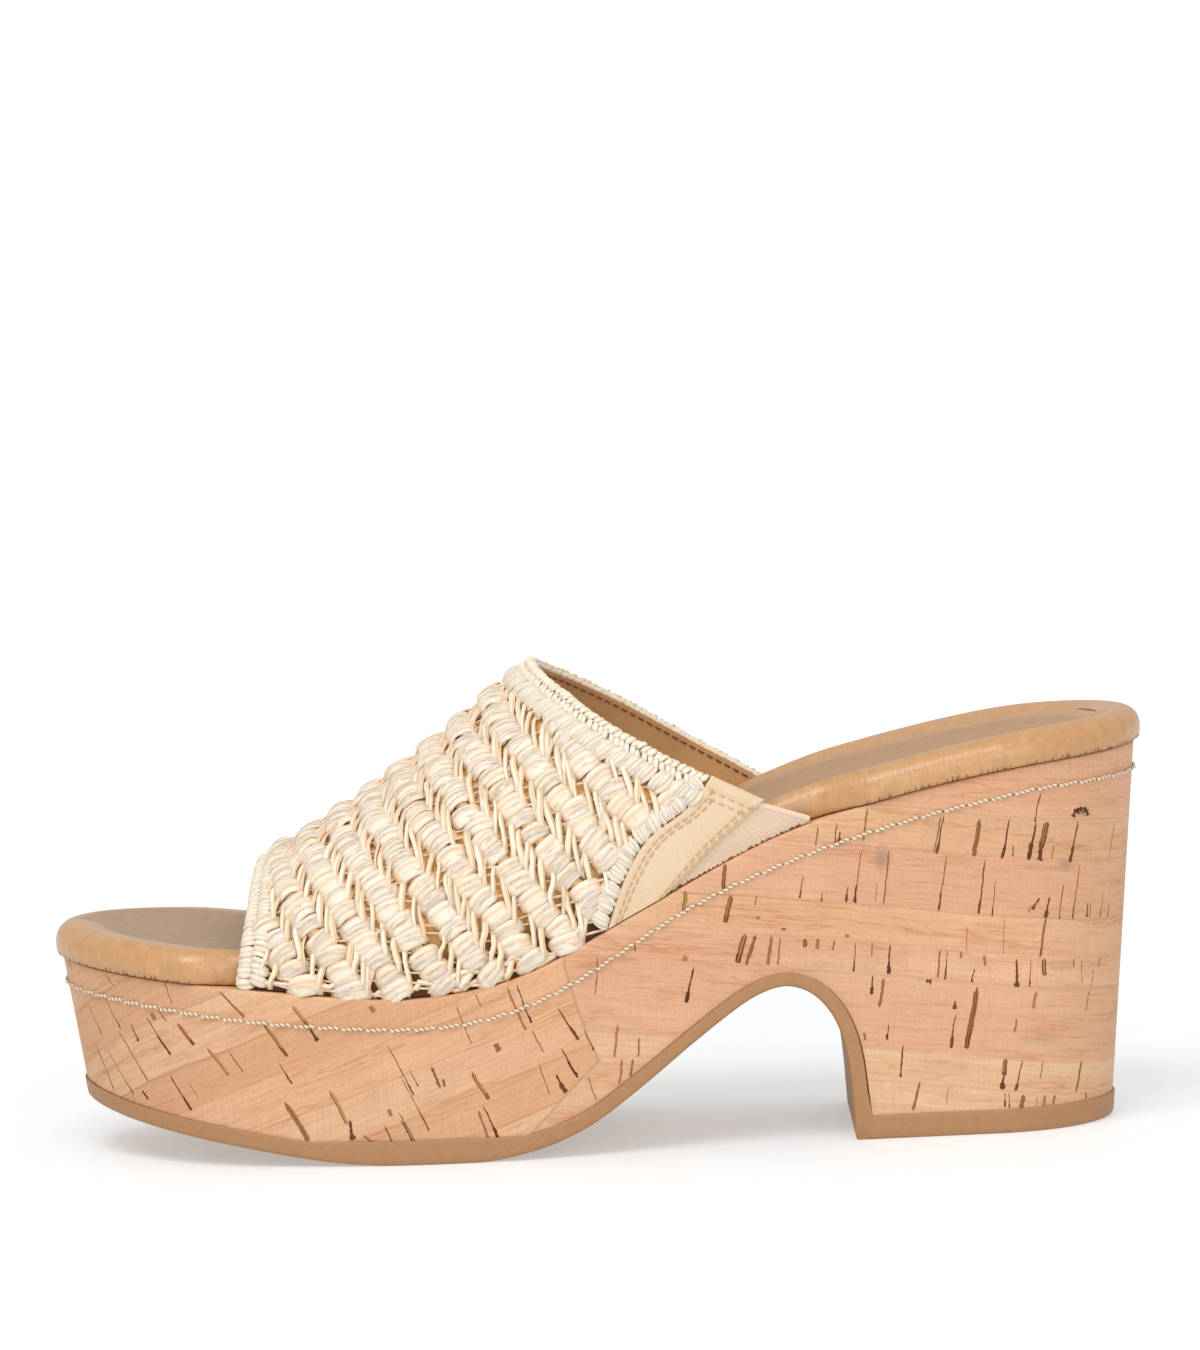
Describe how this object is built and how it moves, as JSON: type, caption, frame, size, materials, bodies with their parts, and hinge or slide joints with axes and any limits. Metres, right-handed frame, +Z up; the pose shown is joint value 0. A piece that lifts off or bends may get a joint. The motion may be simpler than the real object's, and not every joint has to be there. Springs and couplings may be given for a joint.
{
  "type": "platform slide sandal",
  "caption": "Platform slide sandal with a woven raffia vamp, a padded leather footbed, a cork-wrapped platform with a block heel and a thin rubber outsole.",
  "frame": {"origin": "on the floor below the middle of the shoe's box", "axes": "+X towards the heel, -X towards the toe, -Y the lateral side, +Y the medial side, +Z up from the floor"},
  "size_m": [0.25, 0.0916, 0.1103],
  "materials": {
    "tan_rubber": "matt moulded rubber",
    "cork_veneer": "thin cork sheet with dark flecks, glued round the platform",
    "tan_leather": "smooth semi-matt leather over foam",
    "taupe_leather": "smooth matt leather",
    "woven_raffia": "raffia strands wrapped over ribs, on a tan leather lining",
    "pale_leather": "smooth pale leather",
    "cream_elastic": "ribbed elastic webbing"
  },
  "bodies": {
    "root": {"outsole": "tan_rubber", "cork_platform": "cork_veneer", "footbed": "tan_leather", "sock_lining": "taupe_leather", "vamp": "woven_raffia", "side_tab": "pale_leather", "elastic_gore": "cream_elastic"}
  },
  "joints": []
}
